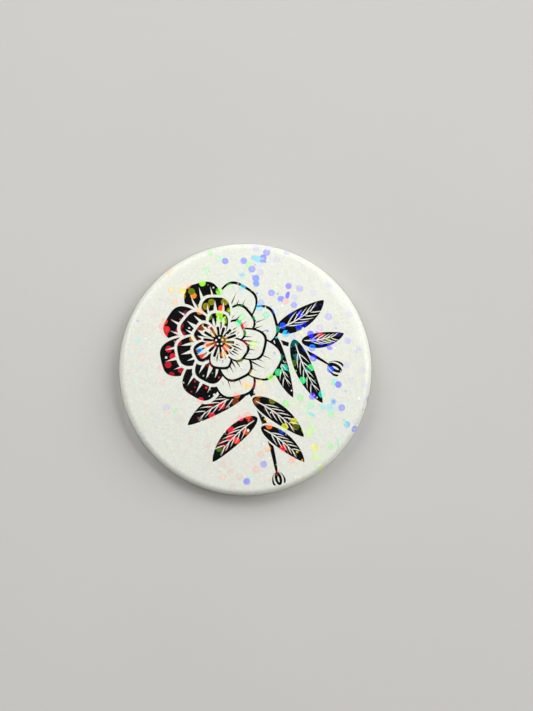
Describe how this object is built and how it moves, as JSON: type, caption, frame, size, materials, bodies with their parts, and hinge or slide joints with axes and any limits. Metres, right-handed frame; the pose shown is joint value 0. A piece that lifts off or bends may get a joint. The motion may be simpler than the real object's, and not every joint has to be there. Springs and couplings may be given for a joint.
{
  "type": "pin-back button badge",
  "caption": "Round domed tinplate badge with a printed face under holographic dot film and clear film, closed by a pressed back plate with a hinged spring-wire pin.",
  "frame": {"origin": "on the badge's axis, in the plane of the back bead that it rests on", "axes": "+Z out of the printed face along the disc's axis, +Y to the top of the print, +X along the pin towards its point"},
  "size_m": [0.038, 0.038, 0.0048],
  "materials": {
    "clear_film": "clear gloss polyester",
    "holographic_film": "clear film with round holographic dots",
    "printed_paper": "white coated paper with black print",
    "tinplate": "bright tinplate",
    "spring_wire": "nickel-plated drawn wire"
  },
  "bodies": {
    "root": {"clear_film": "clear_film", "holographic_film": "holographic_film", "printed_paper": "printed_paper", "front_shell": "tinplate", "back_plate": "tinplate", "pin_leg": "spring_wire"},
    "pin": {"pin_arm": "spring_wire"}
  },
  "joints": [
    {"name": "pin_swing", "type": "hinge", "parent": "root", "child": "pin", "pos_m": [-0.0115, 0.001, 0.00117], "axis": [0, 0.8192, 0.5736], "range_deg": [0, 35]}
  ]
}
